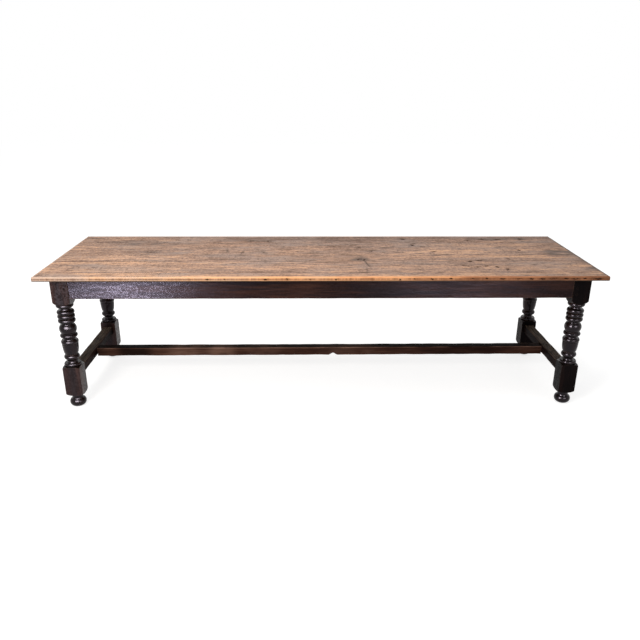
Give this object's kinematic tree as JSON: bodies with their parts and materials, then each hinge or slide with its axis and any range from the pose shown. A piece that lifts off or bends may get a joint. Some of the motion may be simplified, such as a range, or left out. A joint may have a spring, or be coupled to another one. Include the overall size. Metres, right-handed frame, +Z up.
{
  "type": "dining table",
  "caption": "Long farmhouse table: plank top on a pegged frame with turned legs, bun feet and an H stretcher, for dining or work.",
  "frame": {"origin": "on the floor, below the centre of the table", "axes": "+X along the table, +Y from front to back, +Z up"},
  "size_m": [2.9, 0.9, 0.76],
  "materials": {
    "top_boards": "worn, scrubbed and waxed",
    "dark_base": "dark stained, waxed to a shine",
    "bare_wood": "bare, aged",
    "peg_wood": "dark stained",
    "screw_iron": "dull, oxidised"
  },
  "bodies": {
    "root": {"front_plank": "top_boards", "second_plank": "top_boards", "third_plank": "top_boards", "fourth_plank": "top_boards", "back_plank": "top_boards", "front_left_leg": "dark_base", "front_right_leg": "dark_base", "back_left_leg": "dark_base", "back_right_leg": "dark_base", "front_rail": "dark_base", "back_rail": "dark_base", "left_end_rail": "dark_base", "right_end_rail": "dark_base", "left_stretcher": "dark_base", "right_stretcher": "dark_base", "centre_stretcher": "dark_base", "plank_tongue_1": "bare_wood", "plank_tongue_2": "bare_wood", "plank_tongue_3": "bare_wood", "plank_tongue_4": "bare_wood", "left_bearer": "bare_wood", "middle_bearer": "bare_wood", "right_bearer": "bare_wood", "front_buttons": "bare_wood", "back_buttons": "bare_wood", "left_buttons": "bare_wood", "right_buttons": "bare_wood", "front_rail_pegs": "peg_wood", "back_rail_pegs": "peg_wood", "left_end_rail_pegs": "peg_wood", "right_end_rail_pegs": "peg_wood", "left_stretcher_pegs": "peg_wood", "right_stretcher_pegs": "peg_wood", "centre_stretcher_pegs": "peg_wood", "bearer_screws": "screw_iron", "button_screws": "screw_iron"}
  },
  "joints": []
}
